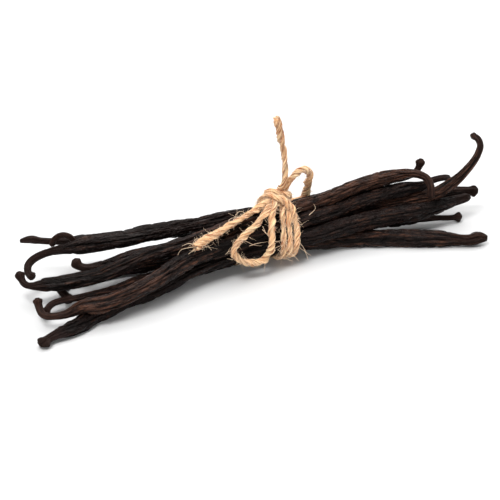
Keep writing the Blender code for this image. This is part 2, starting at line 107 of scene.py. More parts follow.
# Each pod: the points its middle line runs through, the body's radius near its left, its middle
# and its right, and its two ends
PODS = {
    "pod_1": dict(
        route=[
            (-95, -23.2, 2.1), (-92.8, -21.5, 2.2), (-90, -20.3, 2.4), (-83, -18.5, 2.6), (-70, -14, 2.7),
            (-46, -8, 4.6), (-16, -6, 8.2), (6, -7, 9.6), (32, -7.5, 9.8), (52, -8.5, 10),
            (67, -9, 9.4), (76.5, -7.7, 9.2), (83.3, -7.2, 9.2),
        ],
        body=(2.75, 3.0, 3.3), left=KNOB, right=BLUNT,
    ),
    "pod_2": dict(
        route=[
            (-87.5, -5.6, 1.9), (-87, -5.4, 3.4), (-85, -4.6, 4.6), (-82, -4.6, 5.2), (-75, -5.8, 5.4),
            (-60, -6, 5), (-41, -6, 4.8), (-24, -4, 5.2), (6, -3.5, 6), (23, -5, 3.9), (44, -11.5, 2.8),
            (56, -17.5, 2.8), (66, -22.5, 2.7), (72.5, -25.7, 2.5), (76, -26.3, 3), (78.7, -27.5, 2.8),
        ],
        body=(2.4, 2.8, 3.0), left=STALK, right=SNOUT,
    ),
    "pod_3": dict(
        route=[
            (-90.5, -6.4, 9.6), (-90.6, -8, 7.2), (-90.3, -11, 5.6), (-88, -12.6, 5.2), (-83, -14, 5.4),
            (-72, -16.5, 7.3), (-55, -16.5, 10.4), (-34, -9.5, 13), (-16, -7, 14.2), (6, -5.5, 14.6),
            (33, -2.5, 15.8), (54, -4, 17.4), (64, -4, 17.2), (68.5, -3.2, 18), (72, -3.6, 18.3),
            (76.6, -2.5, 17),
        ],
        body=(3.0, 2.8, 2.5), left=dict(STALK, neck_length=11.0, swell=18.0),
        right=dict(CURLED, neck=1.2, neck_length=7.0, swell=16.0),
    ),
    "pod_4": dict(
        route=[
            (-92, 9.3, 11.8), (-91.8, 7.8, 10.3), (-91.1, 5.4, 8.8), (-89, 3.7, 8.6), (-85, 2.4, 8.9),
            (-80, 0.5, 9.1), (-74, -1.1, 9.7), (-60, -2.5, 12), (-48, -3, 14), (-15, -5, 17),
            (6, -1.5, 17.4), (22, -1, 17.6), (40, -1, 21.6), (56, -1, 22.6), (61, -2.2, 22),
            (64.3, -5, 21), (64.4, -8.2, 19.6), (63.7, -10.2, 18), (63, -11.2, 15.6),
        ],
        body=(2.6, 2.7, 2.8), left=BUDDED, right=dict(STALK, neck=1.4, neck_length=9.0, swell=20.0),
    ),
    "pod_5": dict(
        route=[
            (-87, 8.4, 8.8), (-88, 10.8, 9.4), (-87.3, 13.2, 11), (-85, 14.4, 12.4), (-80, 14.4, 13.9),
            (-69, 11.4, 15.4), (-54, 8.6, 16.4), (-32, 6.5, 16.7), (-10, 6, 16.2), (6, 4, 16),
            (20, 4.5, 15.4), (38, 4.5, 17), (53, 4.5, 17.8), (60.4, 4, 17.6), (64, 3.2, 18.7),
            (65.8, 2.9, 21), (67, 3.2, 24.2),
        ],
        body=(2.8, 2.35, 2.6), left=dict(STALK, neck_length=13.0, swell=20.0), right=SCAR,
    ),
    "pod_6": dict(
        route=[
            (-86.3, 23.4, 15.6), (-83.4, 21.8, 16.3), (-79.5, 20.4, 15.5), (-73, 18.9, 14.4),
            (-67, 18.2, 13.4), (-56, 15.4, 12.8), (-44, 12.6, 12.8), (-26, 10.4, 13.2), (5, 7, 12.2),
            (30, 6, 11), (50, 4, 10), (70, 1, 9.4), (80, -1, 9.4), (85.5, -2.8, 9.4), (88.6, -4.6, 9.4),
        ],
        body=(2.2, 2.6, 2.3), left=HORN, right=KNOB,
    ),
    "pod_7": dict(
        route=[
            (-76.8, 17.2, 14.6), (-76.2, 16.4, 17), (-74.6, 16.1, 18.4), (-72.6, 15.7, 18.7),
            (-70.9, 15, 18), (-69.6, 14.9, 16.4), (-68.2, 15.6, 14), (-65.6, 16.6, 11.8),
            (-61, 17.6, 11.2), (-52, 18.4, 10.6), (-42, 18, 10.4), (-30, 15.4, 9.8), (-8, 9, 8.4),
            (6, 6, 7.4), (30, 9, 4), (44, 11.5, 2.1), (56, 13, 1.7), (66, 13.4, 1.8),
        ],
        body=(2.15, 2.5, 2.5), left=CURLED, right=SCAR,
    ),
    "pod_8": dict(
        route=[
            (-72.6, 5.4, 14), (-71.4, 3, 12.4), (-68.6, 1, 11.4), (-62.2, 0.2, 11.1), (-55, 1.4, 11.7),
            (-44, 2, 11.8), (-34, 1.6, 11.3), (-15, -0.3, 10.8), (6, 0, 11), (26, 0, 11.6),
            (38, -1.2, 12), (50, -3.5, 12.4), (61, -5.4, 12.6), (66.5, -6.6, 13.2), (72, -7.6, 16.2),
            (76.5, -8.6, 19.6), (81, -9, 24), (85, -8, 28), (87, -6, 30.4), (87, -3.4, 32),
            (86, -1, 32.4),
        ],
        body=(2.45, 2.5, 2.3), left=KNOB, right=LASH,
    ),
    "pod_9": dict(
        route=[
            (-77.4, -2.9, 2.6), (-78.1, -1.2, 3.6), (-79.1, 0.6, 4.8), (-79.3, 3, 5), (-77.9, 7, 4.2),
            (-74.8, 9.6, 3.2), (-70.4, 10, 2.6), (-61.5, 10.6, 2.2), (-50, 9.6, 2.3), (-26, 5, 3.2),
            (6, 1.5, 5.6), (32, 1.5, 4.8), (48, -1, 4.2), (60, -3.8, 3.6), (70, -6.4, 2.7),
            (74.5, -7.4, 2.2), (79.4, -8.3, 2.1),
        ],
        body=(2.5, 2.6, 2.4), left=SCAR, right=dict(SCAR, neck=1.05, neck_length=9.0, swell=14.0),
    ),
}


def smooth_line(points, count):
    """Evenly spaced places on a smooth curve through the points: a cubic between each two of them"""
    points = np.array(points, float)
    chords = np.linalg.norm(np.diff(points, axis=0), axis=1)
    knots = np.concatenate([[0.0], np.cumsum(np.sqrt(chords))])
    spans = np.diff(knots)[:, None]
    slopes = np.diff(points, axis=0) / spans
    inner = (slopes[:-1] * spans[1:] + slopes[1:] * spans[:-1]) / (spans[:-1] + spans[1:])
    tangents = np.vstack([slopes[:1], inner, slopes[-1:]])
    t = np.linspace(0.0, 1.0, CHORDS, endpoint=False)[:, None]
    fine = []
    for i, h in enumerate(spans):
        fine.append(
            (2 * t**3 - 3 * t**2 + 1) * points[i] + (t**3 - 2 * t**2 + t) * h * tangents[i]
            + (3 * t**2 - 2 * t**3) * points[i + 1] + (t**3 - t**2) * h * tangents[i + 1]
        )
    return evenly(np.vstack(fine + [points[-1:]]), count)


def run_of(line):
    """How far along a line each of its places is"""
    return np.concatenate([[0.0], np.cumsum(np.linalg.norm(np.diff(line, axis=0), axis=1))])


def evenly(line, count):
    """The same line with its places a constant distance apart"""
    run = run_of(line)
    places = np.linspace(0.0, run[-1], count)
    return np.stack([np.interp(places, run, line[:, k]) for k in range(3)], axis=1)


def ease(x):
    """A smooth step from 0 to 1"""
    x = np.clip(x, 0.0, 1.0)
    return x * x * (3 - 2 * x)


def end_radius(away, end, body):
    """A pod's radius at some distance from one of its ends: what tips it, its neck, its swelling"""
    swelling = end["neck"] + (body - end["neck"]) * ease((away - end["neck_length"]) / end["swell"])
    x = np.clip(away / end["tip_length"], 0.0, 1.0)
    nose = NOSE + (1 - NOSE) * np.sqrt(ease(x / end["nose"]))
    tip = end["tip"] * nose + (end["neck"] - end["tip"]) * ease((x - end["nose"]) / (1 - end["nose"]))
    return np.where(away < end["tip_length"], tip, swelling)


def pod_radii(line, pod):
    """A pod's radius at each place on its line"""
    run = run_of(line)
    body = np.interp(run / run[-1], BODY_AT, pod["body"])
    body *= 1 - PINCH * ease(1 - np.abs(line[:, 0] - TIE_X) / TIE_REACH)
    return np.minimum(end_radius(run, pod["left"], body), end_radius(run[-1] - run, pod["right"], body))


def spread_out(push, rounds):
    """Share each place's push with its neighbours on the pod, because a pod bends stiffly"""
    for _ in range(rounds):
        ends = np.concatenate([push[:, :1], push, push[:, -1:]], axis=1)
        push = (ends[:, :-2] + 2 * ends[:, 1:-1] + ends[:, 2:]) / 4
    return push


def settle(lines, radii):
    """Draw the pods in at the tie and push them apart, and off the floor, until they only touch"""
    lines = np.array(lines)
    radii = np.array(radii)
    pods, places = radii.shape
    rows = np.arange(places)
    for step in range(STEPS):
        near_tie = np.clip(1 - np.abs(lines[..., 0] - TIE_X) / TIE_REACH, 0.0, 1.0)
        inward = np.array([0.0, TIE_Y, TIE_Z]) - lines
        inward[..., 0] = 0.0
        far = np.linalg.norm(inward, axis=2, keepdims=True)
        push = inward / (far + PULL_EASE) * near_tie[..., None] * GRIP
        for a in range(pods):
            for b in range(a + 1, pods):
                between = lines[a][:, None] - lines[b][None]
                apart = np.linalg.norm(between, axis=2)
                lack = radii[a][:, None] + radii[b][None] + GAP - apart
                if lack.max() <= 0:
                    continue
                for pod, gaps, sign in ((a, lack, 1), (b, lack.T, -1)):
                    worst = gaps.argmax(axis=1)
                    depth = np.clip(gaps[rows, worst], 0.0, None)
                    way = (between if sign > 0 else between.transpose(1, 0, 2))[rows, worst] * sign
                    way /= np.linalg.norm(way, axis=1, keepdims=True) + 1e-9
                    push[pod] += way * depth[:, None] * HALF
        lines += spread_out(push, 3 if step < STEPS * STIFF else 1)
        floor = radii - FLAT + (TWINE + GAP + FLAT) * (near_tie > ON_TWINE)
        sunk = np.clip(floor - lines[..., 2], 0.0, None)
        lines[..., 2] += spread_out(sunk[..., None], 2)[..., 0]
        lines[..., 2] = np.maximum(lines[..., 2], floor)
    return lines


def middle_of(lines, radii):
    """Where the middle of the pods' box is, in X and Y"""
    way = np.gradient(lines, axis=1)
    way /= np.linalg.norm(way, axis=2, keepdims=True)
    half = radii[..., None] * np.sqrt(1 - way**2)
    low = (lines - half).min(axis=(0, 1))
    high = (lines + half).max(axis=(0, 1))
    return np.array([(low[0] + high[0]) / 2, (low[1] + high[1]) / 2, 0.0])


routes = [smooth_line(pod["route"], SAMPLES) for pod in PODS.values()]
pod_radius = np.array([pod_radii(route, pod) for route, pod in zip(routes, PODS.values())])
pod_line = settle(routes, pod_radius)
home = middle_of(pod_line, pod_radius)


# ---- Pods: their skins --------------------------------------------------------------------------
# Cured, the fleshy pod has shrunk on its seeds: long furrows run down it, finer ones between them,
# and its stalk end is a dry, cut scar. Each skin is a sheet rolled round the pod's line and closed.
POD_RINGS = 400
POD_SIDES = 80
POD_SEED = 40  # of the first pod's patterns; each next pod's is one more
SKIN_RADIUS = 2.6  # of the even tube that the skin's pattern is laid out on
TOUCH = 0.1  # how far a skin swells into the clearance, so that neighbours meet
STALK_FADE = 9  # length over which the dry stalk turns into the waxy body
CUT_DRYNESS = 1.6  # how dry the cut scar at a pod's end is, where the stalk is 1
ASIDE = (0.2, 0.1, 1.0)  # a direction that no pod or twine sets out in
HILL_EDGE = 4  # how sharply hills finer than their reach are left out

# Long furrows, fine wrinkles between them and soft dents: how deep each is, and how far it reaches
# along and around the pod. The skin beside a furrow or wrinkle rises by a share of its depth
FURROW = 0.64
FURROW_REACH = (24.0, 1.2)
FURROW_WIDTH = 0.45
FURROW_RISE = 0.1
WRINKLE = 0.38
WRINKLE_REACH = (3.0, 0.65)
WRINKLE_WIDTH = 0.5
WRINKLE_RISE = 0.15
WRINKLE_SHADE = 0.6  # how much painted shade a wrinkle gets, where a furrow gets 1
DENT = 0.18
DENT_REACH = (6.0, 2.0)

# How far from round a pod is, as a share of its radius, and how far the oval turns along it
OVAL = 0.07
OVAL_TURN = 3
OVAL_REACH = (40.0, 0.1)

# The relief begins at one radius and is whole at that much more; the thinnest necks have the least
RELIEF_FROM = 0.9
RELIEF_OVER = 1.4
LEAST_RELIEF = 0.15

# How brown each pod has stayed, and the shares of its length where that is given
BROWN_AT = (0.1, 0.5, 0.9)
BROWNED = {
    "pod_1": (0.1, 0.1, 0.2), "pod_2": (0.4, 0.3, 0.4), "pod_3": (0.8, 0.3, 0.2),
    "pod_4": (0.3, 0.5, 0.9), "pod_5": (0.1, 0.1, 0.5), "pod_6": (0.2, 0.2, 0.3),
    "pod_7": (0.6, 0.2, 0.3), "pod_8": (0.2, 0.1, 1.0), "pod_9": (0.4, 0.3, 0.3),
}

# What closes each end: shares of the end's radius, and how far past the end each ring lies
CAP = ((0.94, 0.16), (0.78, 0.24), (0.5, 0.14), (0.22, 0.02), (0.0, 0.0))


def carried_frame(line):
    """A line's direction and two directions square to it, carried along it without twisting"""
    way = np.gradient(line, axis=0)
    way /= np.linalg.norm(way, axis=1, keepdims=True)
    side = np.empty_like(way)
    side[0] = np.cross(way[0], ASIDE)
    side[0] /= np.linalg.norm(side[0])
    for i in range(1, len(way)):
        side[i] = side[i - 1] - way[i] * (way[i] @ side[i - 1])
        side[i] /= np.linalg.norm(side[i])
    return way, side, np.cross(way, side)


def hills(random, shape, step, reach):
    """Soft random hills about one high on a grid: step and reach are lengths along and around"""
    noise = np.fft.rfft2(random.standard_normal(shape))
    along = np.fft.fftfreq(shape[0], step[0])[:, None]
    around = np.fft.rfftfreq(shape[1], step[1])[None]
    noise *= np.exp(-((along * reach[0]) ** 2 + (around * reach[1]) ** 2) * HILL_EDGE)
    field = np.fft.irfft2(noise, shape)
    return field / field.std()


def rolled_sheet(name, places, **patterns):
    """A closed mesh from rings of places in millimetres, with its patterns as attributes"""
    rings, sides = places.shape[:2]
    bpy.ops.object.select_all(action="DESELECT")
    bpy.ops.mesh.primitive_grid_add(x_subdivisions=rings - 1, y_subdivisions=sides, size=2)
    sheet = bpy.context.active_object
    sheet.name = sheet.data.name = name
    flat = np.empty(len(sheet.data.vertices) * 3)
    sheet.data.vertices.foreach_get("co", flat)
    flat = flat.reshape(-1, 3)
    ring = np.rint((flat[:, 0] + 1) / 2 * (rings - 1)).astype(int)
    side = np.rint((flat[:, 1] + 1) / 2 * sides).astype(int) % sides
    sheet.data.vertices.foreach_set("co", (places[ring, side] * MM).ravel())
    for pattern, values in patterns.items():
        if values.ndim == 3:
            sheet.data.attributes.new(pattern, "FLOAT_VECTOR", "POINT").data.foreach_set(
                "vector", values[ring, side].ravel()
            )
        else:
            sheet.data.attributes.new(pattern, "FLOAT", "POINT").data.foreach_set(
                "value", values[ring, side].ravel()
            )
    bpy.ops.object.mode_set(mode="EDIT")
    bpy.ops.mesh.select_all(action="SELECT")
    bpy.ops.mesh.remove_doubles(threshold=0.000001)
    bpy.ops.mesh.normals_make_consistent(inside=False)
    bpy.ops.object.mode_set(mode="OBJECT")
    bpy.ops.object.shade_smooth()
    return sheet


def pod_skin(name, pod, line, brown, seed):
    """One pod's skin: a tube with furrows and wrinkles sunk in it and its ends closed"""
    random = np.random.default_rng(seed)
    line = smooth_line(line, POD_RINGS)
    radius = pod_radii(line, pod)
    line = line - home
    run = run_of(line)
    way, side, up = carried_frame(line)
    angle = np.linspace(0, 2 * math.pi, POD_SIDES, endpoint=False)
    shape = (POD_RINGS, POD_SIDES)
    step = (run[1], angle[1] * SKIN_RADIUS)
    furrows = np.exp(-(hills(random, shape, step, FURROW_REACH) / FURROW_WIDTH) ** 2)
    wrinkles = np.exp(-(hills(random, shape, step, WRINKLE_REACH) / WRINKLE_WIDTH) ** 2)
    relief = DENT * hills(random, shape, step, DENT_REACH)
    relief = relief - FURROW * (furrows - FURROW_RISE) - WRINKLE * (wrinkles - WRINKLE_RISE)
    straying = hills(random, (POD_RINGS, 2), (run[1], 1.0), OVAL_REACH)[:, :1]
    slant = OVAL_TURN * np.cumsum(straying, axis=0) / POD_RINGS
    oval = 1 + OVAL * np.cos(2 * angle[None] + slant * 2)
    full = np.clip((radius[:, None] - RELIEF_FROM) / RELIEF_OVER, LEAST_RELIEF, 1.0)
    reach = (radius[:, None] + TOUCH * full) * oval + relief * full
    cosine, sine = np.cos(angle)[None, :, None], np.sin(angle)[None, :, None]
    around = side[:, None] * cosine + up[:, None] * sine
    places = line[:, None] + around * reach[..., None]
    places[..., 2] = places[..., 2].clip(0.0)
    skin = np.concatenate([
        np.broadcast_to(run[:, None, None], shape + (1,)),
        np.broadcast_to(cosine * SKIN_RADIUS, shape + (1,)),
        np.broadcast_to(sine * SKIN_RADIUS, shape + (1,)),
    ], axis=2)
    # The furrows and, less, the wrinkles make a mask for painted shade: the skin's colour goes near black
    # down in them, and it is rougher there
    furrow = np.clip(furrows + wrinkles * WRINKLE_SHADE, 0, 1)
    brown = np.interp(run / run[-1], BROWN_AT, brown)[:, None] * np.ones(POD_SIDES)
    left_stalk = 1 - ease((run - pod["left"]["neck_length"]) / STALK_FADE)
    right_stalk = 1 - ease((run[-1] - run - pod["right"]["neck_length"]) / STALK_FADE)
    stalk = np.maximum(left_stalk, right_stalk)[:, None] * np.ones(POD_SIDES)
    before, after = [], []
    for share, out in CAP:
        before.append(line[0] - way[0] * out + (places[0] - line[0]) * share)
        after.append(line[-1] + way[-1] * out + (places[-1] - line[-1]) * share)
    ends = (len(CAP), len(CAP))
    places = np.concatenate([before[::-1], places, after])
    skin = np.pad(skin, (ends, (0, 0), (0, 0)), "edge")
    furrow = np.pad(furrow, (ends, (0, 0)), "edge")
    brown = np.pad(brown, (ends, (0, 0)), "edge")
    stalk = np.pad(stalk, (ends, (0, 0)), constant_values=CUT_DRYNESS)
    return rolled_sheet(name, places, skin=skin, furrow=furrow, stalk=stalk, brown=brown)


def linear(colour):
    """An sRGB hex colour as Blender's linear one"""
    parts = [int(colour[i:i + 2], 16) / 255 for i in (1, 3, 5)]
    return (*(c / 12.92 if c <= 0.04045 else ((c + 0.055) / 1.055) ** 2.4 for c in parts), 1.0)


def add_node(material, kind, settings=(), **links):
    """One node with its settings, and a link or a value for each input, named or by its place, _0"""
    node = material.node_tree.nodes.new(kind)
    for name, value in dict(settings).items():
        setattr(node, name, value)
    for name, value in links.items():
        socket = node.inputs[int(name[1:]) if name[0] == "_" else name.replace("_", " ")]
        if isinstance(value, bpy.types.NodeSocket):
            material.node_tree.links.new(value, socket)
        else:
            socket.default_value = value
    return node


def new_material(name):
    """An empty material with its output, and its principled shader"""
    material = bpy.data.materials.new(name)
    material.use_nodes = True
    return material, material.node_tree.nodes["Principled BSDF"]


def cured_skin():
    """Cured skin: nearly black, waxy with its own oil, brown in streaks and drier at its stalks, with
    shade painted near black into its furrows and wrinkles
    """
    material, shader = new_material("cured_vanilla_skin")
    skin = add_node(material, "ShaderNodeAttribute", {"attribute_name": "skin"}).outputs["Vector"]
    furrow = add_node(material, "ShaderNodeAttribute", {"attribute_name": "furrow"}).outputs["Fac"]
    stalk = add_node(material, "ShaderNodeAttribute", {"attribute_name": "stalk"}).outputs["Fac"]
    # Patches about 12 mm long and 3 mm wide, and streaks of 8 by 0.8 mm that follow the ribs
    patch_place = add_node(material, "ShaderNodeMapping", Vector=skin, Scale=(0.08, 0.33, 0.33))
    patch = add_node(
        material, "ShaderNodeTexNoise", Vector=patch_place.outputs[0], Scale=1.0, Detail=3.0,
    )
    streak_place = add_node(material, "ShaderNodeMapping", Vector=skin, Scale=(0.13, 1.3, 1.3))
    streak = add_node(
        material, "ShaderNodeTexNoise",
        Vector=streak_place.outputs[0], Scale=1.0, Detail=5.0, Roughness=0.7,
    )
    ground = add_node(material, "ShaderNodeValToRGB", Fac=patch.outputs["Fac"])
    ground.color_ramp.elements[0].position = 0.35
    ground.color_ramp.elements[0].color = linear("#090505")
    ground.color_ramp.elements[1].position = 0.7
    ground.color_ramp.elements[1].color = linear("#1b100e")
    brown = add_node(material, "ShaderNodeAttribute", {"attribute_name": "brown"}).outputs["Fac"]
    browner = add_node(
        material, "ShaderNodeMath", {"operation": "MULTIPLY_ADD"},
        _0=brown, _1=0.22, _2=streak.outputs["Fac"],
    )
    streaks = add_node(material, "ShaderNodeMapRange", Value=browner.outputs[0], _1=0.58, _2=0.82)
    ribbed = add_node(
        material, "ShaderNodeMix", {"data_type": "RGBA"},
        _0=streaks.outputs[0], _6=ground.outputs["Color"], _7=linear("#593a2c"),
    )
    # Painted shade: down in the furrows and wrinkles the colour is pulled to near black
    sunk = add_node(
        material, "ShaderNodeMix", {"data_type": "RGBA"},
        _0=furrow, _6=ribbed.outputs[2], _7=linear("#030202"),
    )
    dry = add_node(material, "ShaderNodeMath", {"operation": "MULTIPLY"}, _0=stalk, _1=0.55)
    stalked = add_node(
        material, "ShaderNodeMix", {"data_type": "RGBA"},
        _0=dry.outputs[0], _6=sunk.outputs[2], _7=linear("#2a1a15"),
    )
    # Fine wrinkles 4 mm long and 0.7 mm apart and a leathery grain of 0.8 to 1.2 mm. Real ones are
    # down to a third of that and wouldn't show, so these are as coarse as they need to be
    fine_place = add_node(material, "ShaderNodeMapping", Vector=skin, Scale=(0.25, 1.5, 1.5))
    fine = add_node(material, "ShaderNodeTexNoise", Vector=fine_place.outputs[0], Scale=1.0, Detail=3.0)
    grain_place = add_node(material, "ShaderNodeMapping", Vector=skin, Scale=(0.8, 1.2, 1.2))
    grain = add_node(
        material, "ShaderNodeTexNoise",
        Vector=grain_place.outputs[0], Scale=1.0, Detail=3.0, Roughness=0.6,
    )
    wrinkled = add_node(
        material, "ShaderNodeBump", Height=fine.outputs["Fac"], Strength=0.9, Distance=0.0011,
    )
    bump = add_node(
        material, "ShaderNodeBump",
        Height=grain.outputs["Fac"], Strength=0.8, Distance=0.0008, Normal=wrinkled.outputs[0],
    )
    # The oil shines in patches, least on the dry stalks and down in the furrows
    gloss = add_node(
        material, "ShaderNodeMapRange", Value=patch.outputs["Fac"], _1=0.3, _2=0.7, _3=0.3, _4=0.18,
    )
    dried = add_node(
        material, "ShaderNodeMath", {"operation": "MULTIPLY_ADD"},
        _0=stalk, _1=0.2, _2=gloss.outputs[0],
    )
    rough = add_node(
        material, "ShaderNodeMath", {"operation": "MULTIPLY_ADD"},
        _0=furrow, _1=0.3, _2=dried.outputs[0],
    )
    links = material.node_tree.links
    links.new(stalked.outputs[2], shader.inputs["Base Color"])
    links.new(rough.outputs[0], shader.inputs["Roughness"])
    links.new(bump.outputs[0], shader.inputs["Normal"])
    shader.inputs["IOR"].default_value = 1.45
    shader.inputs["Specular IOR Level"].default_value = 0.15
    shader.inputs["Specular Tint"].default_value = linear("#fff0ea")
    return material


skin_material = cured_skin()
for count, ((name, pod), line) in enumerate(zip(PODS.items(), pod_line)):
    piece = pod_skin(name + "_skin", pod, line, BROWNED[name], POD_SEED + count)
    piece.data.materials.append(skin_material)
    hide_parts(name)
    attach(piece, "root")


# ---- Twine: its route ---------------------------------------------------------------------------
# One length of three-ply jute, about 45 cm: a tail laid along the pods, the front loop, two turns
# round the bundle, a pass over the knot, a third turn, the back loop and a tail that stands up.
WRAPS = (1.7, 4.3, 6.8)  # where the three turns round the bundle cross the tie's height, along X
LEAN = 0.27  # how far along X the turns lean as they rise
LEAN_FROM = 9.0  # the height above which they lean
FLOOR_GAP = 0.1  # the least between the twine and the table

# The twine's stretches, each from the knot or to it
TAIL_FRONT = [
    (-32.9, -10.4, 18), (-28.5, -9.5, 19.1), (-21, -8.2, 20.9), (-11.3, -5.7, 22.7), (-3, -2.5, 23.6),
    (1.7, -0.6, 23.9),
]
LOOP_FRONT = [
    (1.3, -3.2, 23.2), (-1.4, -4.9, 23.1), (-6.4, -8.4, 21.2), (-9.9, -9.9, 20), (-13.2, -11.1, 18.6),
    (-16.3, -11.7, 17), (-18.3, -12.2, 15.4), (-19, -12.4, 13.3), (-17.7, -12.7, 10.6),
    (-14.9, -12.8, 8.3), (-11.8, -12.8, 6.9), (-8.8, -12.7, 6.8), (-6.2, -12.7, 7.9),
    (-4.4, -12.6, 10.1), (-3.7, -12.3, 12.6), (-3.4, -11.5, 15.2), (-3, -10.4, 17.4),
    (-1.2, -7.2, 21.2), (-0.1, -5.3, 22.6), (1.1, -3.2, 23.5),
]
LOOP_BACK = [
    (7, 0.5, 25.5), (7.8, 0, 27.6), (9.4, 0.5, 29.3), (11.4, 1.1, 30.6), (14.3, 2.1, 31.4),
    (16.9, 3.1, 31.3), (18.9, 3.6, 29.6), (19.8, 4.5, 27.2), (20.1, 5.9, 24.2), (20.3, 7.1, 21.5),
    (20.4, 8.1, 18.8), (19.8, 9.2, 16), (17.7, 10.2, 14.2), (14.4, 10.5, 14.7), (11.1, 9.3, 17.1),
    (8.3, 7.3, 19.8), (6.5, 5, 22.1),
]
TAIL_UP = [
    (6.4, 2.7, 24.1), (6.5, 0.7, 25.9), (6.6, -0.5, 28.3), (6.9, -1.1, 33.4), (6.8, -1.2, 38),
    (6.2, -1.1, 42.6), (5.5, -1, 46.1), (4.7, -0.9, 50.5), (3.7, -0.8, 56.2),
]

# One turn, as Y and Z: from under the knot down the front, under the pods and up behind
TURN = [
    (-1.2, 21.9), (-4.9, 19.6), (-7.8, 16.2), (-10.6, 12.8), (-12.1, 8.8), (-9.7, 5.3), (-6, 3.1),
    (-1.8, 2.3), (2.6, 2.6), (7, 3.5), (10.3, 6), (10.6, 10.4), (9.8, 14.6), (6.8, 17.4), (2.6, 20),
]

# The twine's passes through its knot, in the order in which it is tied
INTO_LOOP = [(3.7, -0.2, 23.7), (4.7, -0.8, 23), (3.4, -2.2, 22.8)]
INTO_TURNS = [(2.6, -1.4, 24.1), (4.3, -0.6, 23.8), (5.4, -1.2, 22.5)]
OVER_KNOT = [
    (2.4, 6.8, 19.4), (0.2, 6.6, 18.2), (-0.8, 5.4, 19.9), (-1, 3.8, 21.7), (-0.6, 2.2, 23.5),
    (0.2, 0.6, 25), (1.2, -1.2, 25.9), (2.5, -2.6, 25.9), (4.5, -3.6, 24.9), (6.1, -4.4, 23.4),
    (7.1, -5.2, 21.5),
]
CROWN = [
    (10.2, 1.8, 21.9), (8.9, 0.9, 24), (6.8, 0.4, 25.2), (4.4, 0.5, 26), (2.3, 1.1, 26.2),
    (0.9, 2.1, 25.1), (0.8, 3.3, 23), (2.4, 3.8, 21.3), (4.4, 3.4, 21.7), (6.1, 2.1, 23.3),
]
LAID = 560  # places along the twine where it is pushed
LAYING = 45  # rounds of pushing it
BEDDED = 0.86  # how far apart two touching stretches lie, in diameters, since they press in
STRETCH = 2.6  # diameters along the twine within which it doesn't push itself off
OFF_ITSELF = 0.25  # how much of a push off itself the twine takes in one round
OFF_PODS = 0.7  # and off the pods


def wrap_turns():
    """The points of the twine's three turns"""
    return [[(x + LEAN * (max(z, LEAN_FROM) - TIE_Z), y, z) for y, z in TURN] for x in WRAPS]


def laid_twine(points):
    """The twine's smooth line, pushed off the pods, itself and the table until it only touches"""
    line = smooth_line(points, LAID)
    skins = pod_radius.ravel() + TWINE / 2 + TOUCH / 2
    middles = pod_line.reshape(-1, 3)
    count = np.arange(LAID)
    apart_along = int(STRETCH * TWINE / run_of(line)[1])
    strangers = np.abs(count[:, None] - count[None]) > apart_along
    for _ in range(LAYING):
        between = line[:, None] - line[None]
        apart = np.linalg.norm(between, axis=2)
        lack = np.where(strangers, TWINE * BEDDED - apart, 0.0).clip(0.0, None)
        push = (between / (apart[..., None] + 1e-9) * lack[..., None]).sum(axis=1)
        push *= OFF_ITSELF / np.sqrt(np.maximum((lack > 0).sum(axis=1), 1))[:, None]
        between = line[:, None] - middles[None]
        apart = np.linalg.norm(between, axis=2)
        worst = (skins - apart).argmax(axis=1)
        depth = (skins[worst] - apart[count, worst]).clip(0.0, None)
        push += between[count, worst] / apart[count, worst][:, None] * depth[:, None] * OFF_PODS
        line += spread_out(push[None], 3)[0]
        line[:, 2] = np.maximum(line[:, 2], TWINE / 2 + FLOOR_GAP)
    return line


turns = wrap_turns()
twine_points = TAIL_FRONT + INTO_LOOP + LOOP_FRONT + INTO_TURNS + turns[0][1:] + turns[1]
twine_points += OVER_KNOT + turns[2][2:-1] + CROWN + LOOP_BACK + TAIL_UP
twine_line = laid_twine(twine_points)


# ---- Twine: its body ----------------------------------------------------------------------------
# Three spun plies laid up together, so that their grooves wind round the twine. It is thickest at its
# two cut ends and at a slub in the back loop, and thinnest where the tail that stands up begins.
TWINE_RINGS = 1100
TWINE_SIDES = 44
TWINE_SEED = 3
PLY_OFFSET = 0.22  # from the twine's middle to a ply's
PLY_RADIUS = 0.82
PLY_PITCH = 12.0  # length of one turn of the plies
PLIES = 3
UNEVEN_TWIST = 2.2  # how far along the twine its twist strays
TWIST_REACH = (22.0, 30.0)
SLUB = 0.07  # how much the spinning varies the thickness, as a share
SLUB_REACH = (7.0, 3.0)
FIBRE = 0.19  # height of the fibres' relief
FIBRE_REACH = (2.6, 0.34)
FIBRE_SHADE = 0.2  # how much painted shade darkens the fibres that lie low
LOCK_REACH = (7.0, 1.4)  # of the locks that the fibres lie in
STAIN_REACH = (5.0, 1.6)
STAIN_MOST = 1.2
RAGGED = 0.9  # how far the fibres of a cut end stick out
FRAYED = 1.6  # length of the twine over which they do

# How thick the twine is, as shares of its size, at distances from its end on the pods
THICKNESS = (
    (0, 1.4), (6, 1.2), (13, 0.84), (32, 0.93), (60, 1.04), (100, 1.06), (112, 0.93), (330, 0.91),
    (352, 0.9), (374, 1.05), (380, 1.35), (388, 1.4), (394, 0.95), (402, 0.76), (416, 0.78),
    (430, 1.0), (450, 1.35),
)

# Where it is stained brown: distances along it, and how much
STAINS = (
    (0, 0.0), (112, 0.0), (120, 0.5), (128, 0.1), (180, 0.2), (188, 0.5), (200, 0.1), (252, 0.2),
    (262, 0.6), (274, 0.1), (374, 0.0), (380, 0.7), (388, 0.7), (394, 0.0),
)


def twine_radius(run):
    """The twine's nominal radius at distances from its end on the pods"""
    return TWINE / 2 * np.interp(run, *zip(*THICKNESS))


